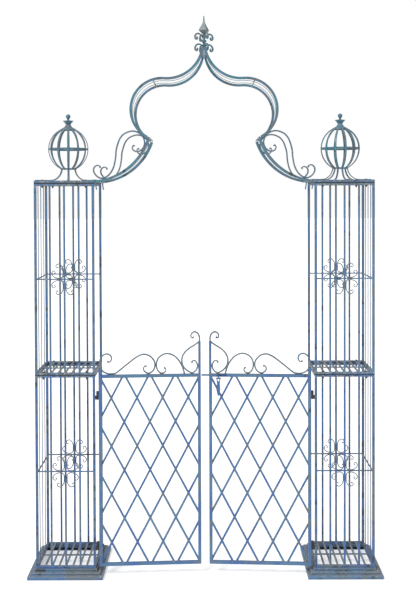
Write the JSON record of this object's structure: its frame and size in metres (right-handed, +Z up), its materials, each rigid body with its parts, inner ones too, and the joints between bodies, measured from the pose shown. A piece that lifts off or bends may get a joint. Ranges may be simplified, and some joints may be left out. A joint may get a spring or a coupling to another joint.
{
  "type": "metal trellis arch",
  "caption": "Free-standing garden arch: square cage columns with plant shelves and globe tops, an ogee trellis arch between them, and a pair of lattice gates with a drop-handle latch.",
  "frame": {"origin": "on the ground, midway between the two columns and midway through their depth", "axes": "+Z up, +X to the right as seen from the front, -Y towards the front; the gates hang on the front posts"},
  "size_m": [1.726, 0.366, 2.7552],
  "materials": {
    "blue_paint": "distressed blue paint, rubbed back to cream undercoat and dark metal in patches",
    "worn_plinth_paint": "distressed blue-grey paint with cream showing along the folded edges",
    "dark_steel": "dark oxidised steel, slightly rusty"
  },
  "bodies": {
    "columns_and_arch": {"plinth_left": "worn_plinth_paint", "plinth_right": "worn_plinth_paint", "base_tray_left": "blue_paint", "base_tray_right": "blue_paint", "lower_cage_left": "blue_paint", "lower_cage_right": "blue_paint", "lower_rosettes_left": "blue_paint", "lower_rosettes_right": "blue_paint", "shelf_tray_left": "blue_paint", "shelf_tray_right": "blue_paint", "upper_cage_left": "blue_paint", "upper_cage_right": "blue_paint", "upper_rosettes_left": "blue_paint", "upper_rosettes_right": "blue_paint", "cap_frame_left": "blue_paint", "cap_frame_right": "blue_paint", "joint_bolts_left": "dark_steel", "joint_bolts_right": "dark_steel", "joint_nuts_left": "dark_steel", "joint_nuts_right": "dark_steel", "globe_legs_left": "blue_paint", "globe_legs_right": "blue_paint", "globe_ribs_left": "blue_paint", "globe_ribs_right": "blue_paint", "globe_rings_left": "blue_paint", "globe_rings_right": "blue_paint", "globe_crown_left": "blue_paint", "globe_crown_right": "blue_paint", "globe_finial_left": "blue_paint", "globe_finial_right": "blue_paint", "arch_rails_left": "blue_paint", "arch_rails_right": "blue_paint", "arch_rods_left": "blue_paint", "arch_rods_right": "blue_paint", "arch_rungs": "blue_paint", "arch_hooks_left": "blue_paint", "arch_hooks_right": "blue_paint", "side_scrolls_left": "blue_paint", "side_scrolls_right": "blue_paint", "apex_stem": "blue_paint", "apex_scrolls": "blue_paint", "apex_spear": "blue_paint", "post_knuckles_left": "dark_steel", "post_knuckles_right": "dark_steel", "hinge_pins_left": "dark_steel", "hinge_pins_right": "dark_steel"},
    "left_leaf": {"leaf_frame_left": "blue_paint", "lattice_left": "blue_paint", "leaf_scrolls_left": "blue_paint", "leaf_knuckles_left": "dark_steel"},
    "right_leaf": {"leaf_frame_right": "blue_paint", "lattice_right": "blue_paint", "leaf_scrolls_right": "blue_paint", "leaf_knuckles_right": "dark_steel"},
    "latch_slide": {"latch_bolt": "blue_paint", "latch_pin": "dark_steel"},
    "latch_drop": {"latch_handle": "blue_paint"}
  },
  "joints": [
    {"name": "left_gate", "type": "hinge", "parent": "columns_and_arch", "child": "left_leaf", "pos_m": [-0.5235, -0.14, 0.5], "axis": [0, 0, 1], "range_deg": [-93, 87]},
    {"name": "right_gate", "type": "hinge", "parent": "columns_and_arch", "child": "right_leaf", "pos_m": [0.5235, -0.14, 0.5], "axis": [0, 0, 1], "range_deg": [-87, 93]},
    {"name": "latch_bolt_slide", "type": "slide", "parent": "right_leaf", "child": "latch_slide", "axis": [-0.9986, 0.0523, 0], "range_m": [-0.034, 0]},
    {"name": "latch_handle_swing", "type": "hinge", "parent": "latch_slide", "child": "latch_drop", "pos_m": [0.06589, -0.13004, 0.9675], "axis": [-0.9986, 0.0523, 0], "range_deg": [-3, 95]}
  ]
}
